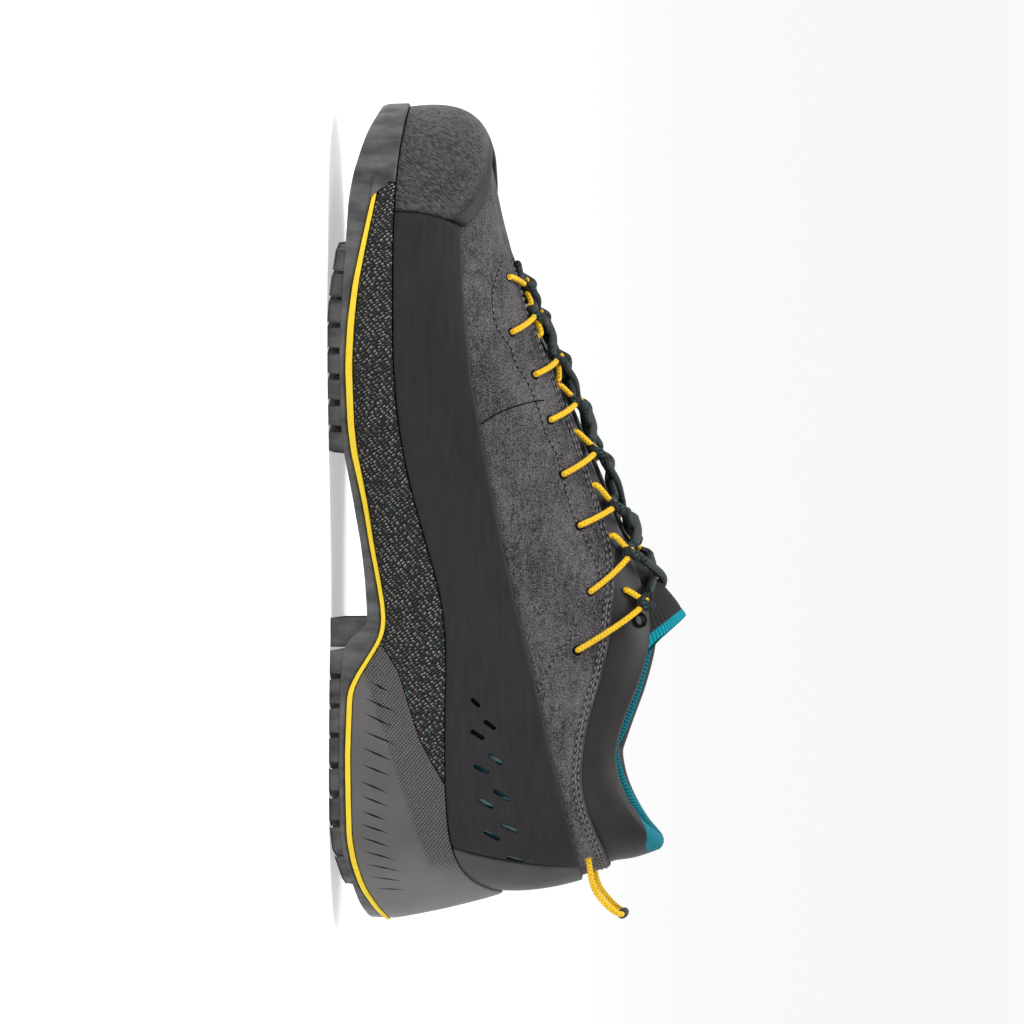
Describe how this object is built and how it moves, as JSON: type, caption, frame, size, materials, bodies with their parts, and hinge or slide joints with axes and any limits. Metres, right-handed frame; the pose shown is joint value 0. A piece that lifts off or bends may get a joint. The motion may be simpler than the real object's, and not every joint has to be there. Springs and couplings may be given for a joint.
{
  "type": "approach shoe",
  "caption": "Low lace-up approach shoe for the right foot: suede upper, rubber rand and toe cap, wedge-heeled midsole with a bright stripe, lugged outsole, heel pull loop.",
  "frame": {"origin": "on the floor, under the centre of the shoe's bounding box", "axes": "toe towards -Y, heel towards +Y, inner (medial) side towards +X, up +Z"},
  "size_m": [0.1057, 0.2917, 0.126],
  "materials": {
    "suede": "matte suede",
    "black_rubber": "satin",
    "grey_toe_rubber": "pebbled satin",
    "sole_rubber": "matte",
    "yellow_foam": "satin",
    "dark_foam": "textured matte",
    "grey_foam": "satin",
    "black_microfibre": "smooth satin",
    "tongue_textile": "matte",
    "insole_textile": "matte",
    "black_lace": "woven",
    "yellow_cord": "woven"
  },
  "bodies": {
    "root": {"outsole": "sole_rubber", "stripe": "yellow_foam", "midsole": "dark_foam", "heel_wedge": "grey_foam", "insole": "insole_textile", "upper": "black_microfibre", "suede_overlay": "suede", "rand_medial": "black_rubber", "rand_lateral": "black_rubber", "heel_rand": "grey_foam", "toe_cap": "grey_toe_rubber", "tongue": "tongue_textile", "lace": "black_lace", "pull_cord_medial": "yellow_cord", "pull_cord_lateral": "yellow_cord", "pull_sleeve": "black_lace", "loop_medial_1": "yellow_cord", "loop_medial_2": "yellow_cord", "loop_medial_3": "yellow_cord", "loop_medial_4": "yellow_cord", "loop_medial_5": "yellow_cord", "loop_medial_6": "yellow_cord", "loop_medial_7": "yellow_cord", "loop_medial_8": "yellow_cord", "loop_lateral_1": "yellow_cord", "loop_lateral_2": "yellow_cord", "loop_lateral_3": "yellow_cord", "loop_lateral_4": "yellow_cord", "loop_lateral_5": "yellow_cord", "loop_lateral_6": "yellow_cord", "loop_lateral_7": "yellow_cord", "loop_lateral_8": "yellow_cord"}
  },
  "joints": []
}
